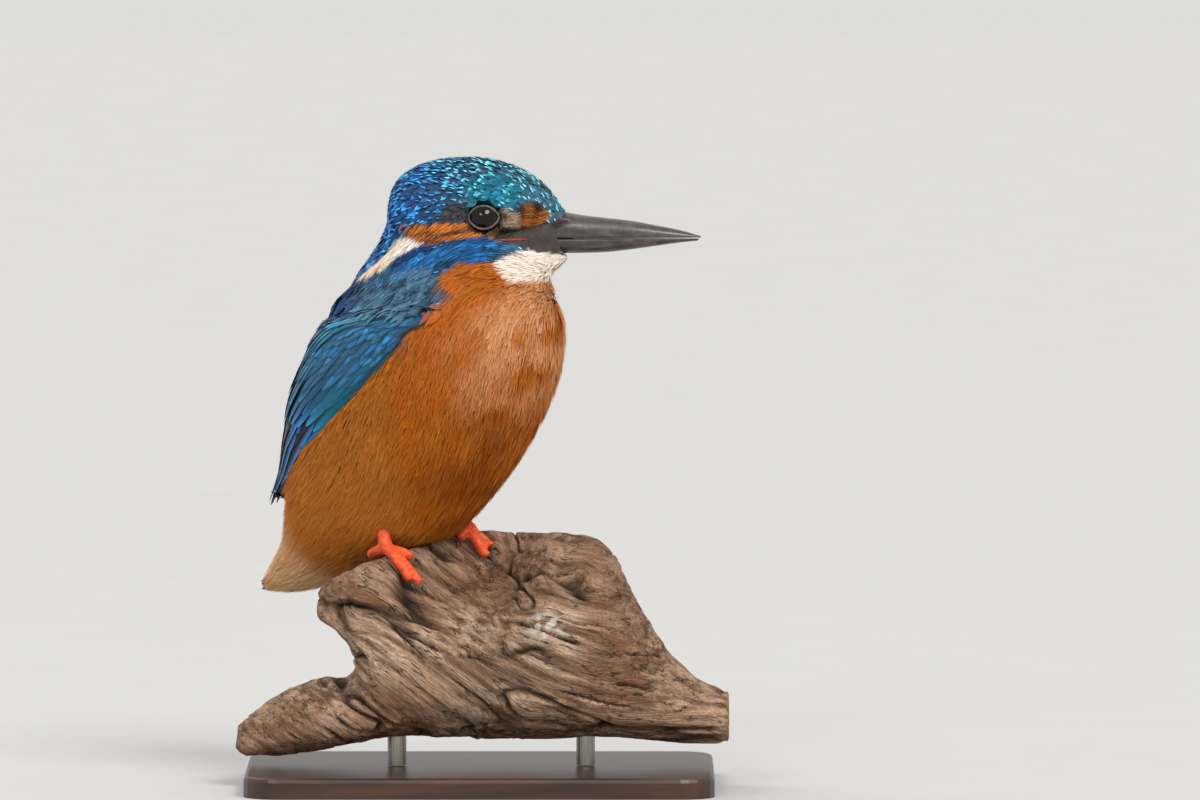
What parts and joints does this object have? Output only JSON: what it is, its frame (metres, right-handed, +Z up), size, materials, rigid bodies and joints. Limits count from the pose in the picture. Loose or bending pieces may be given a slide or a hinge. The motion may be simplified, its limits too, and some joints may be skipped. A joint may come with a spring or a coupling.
{
  "type": "perched kingfisher display model",
  "caption": "Life-size kingfisher perched upright on a short cut length of weathered branch, on a flat display base with short rods.",
  "frame": {"origin": "centre of the display base's flat underside", "axes": "+Z up, the bird standing upright; +X the way the head and bill point; the breast is turned 42 degrees from +X towards -Y"},
  "size_m": [0.1312, 0.0868, 0.1677],
  "materials": {
    "plumage_crown": "small overlapping dark blue feathers with bright turquoise tips",
    "plumage_collar": "soft feathers, white at the throat and neck sides, orange and blue between",
    "plumage_body": "soft orange-rufous belly feathers, bright azure along the back",
    "plumage_tail": "dark blue tail feathers over pale undertail feathers",
    "plumage_wing": "dark teal wing feathers with bright blue spots and edges",
    "bill": "blackish horn, semi-gloss",
    "eye": "dark brown glossy eye",
    "foot_skin": "orange-red scaly skin",
    "claw": "black horn, semi-gloss",
    "branch": "weathered bare wood, deeply grained and cracked",
    "stand_wood": "dark stained wood, satin",
    "stand_metal": "brushed metal rod"
  },
  "bodies": {
    "root": {"bill_lower": "bill", "bill_upper": "bill", "claw_left_hind": "claw", "claw_left_inner": "claw", "claw_left_middle": "claw", "claw_left_outer": "claw", "claw_right_hind": "claw", "claw_right_inner": "claw", "claw_right_middle": "claw", "claw_right_outer": "claw", "eye_left": "eye", "eye_right": "eye", "head": "plumage_crown", "leg_left": "foot_skin", "leg_right": "foot_skin", "neck": "plumage_collar", "perch": "branch", "stand_base": "stand_wood", "stand_rod_1": "stand_metal", "stand_rod_2": "stand_metal", "tail": "plumage_tail", "trunk": "plumage_body", "wing_left": "plumage_wing", "wing_right": "plumage_wing"}
  },
  "joints": []
}
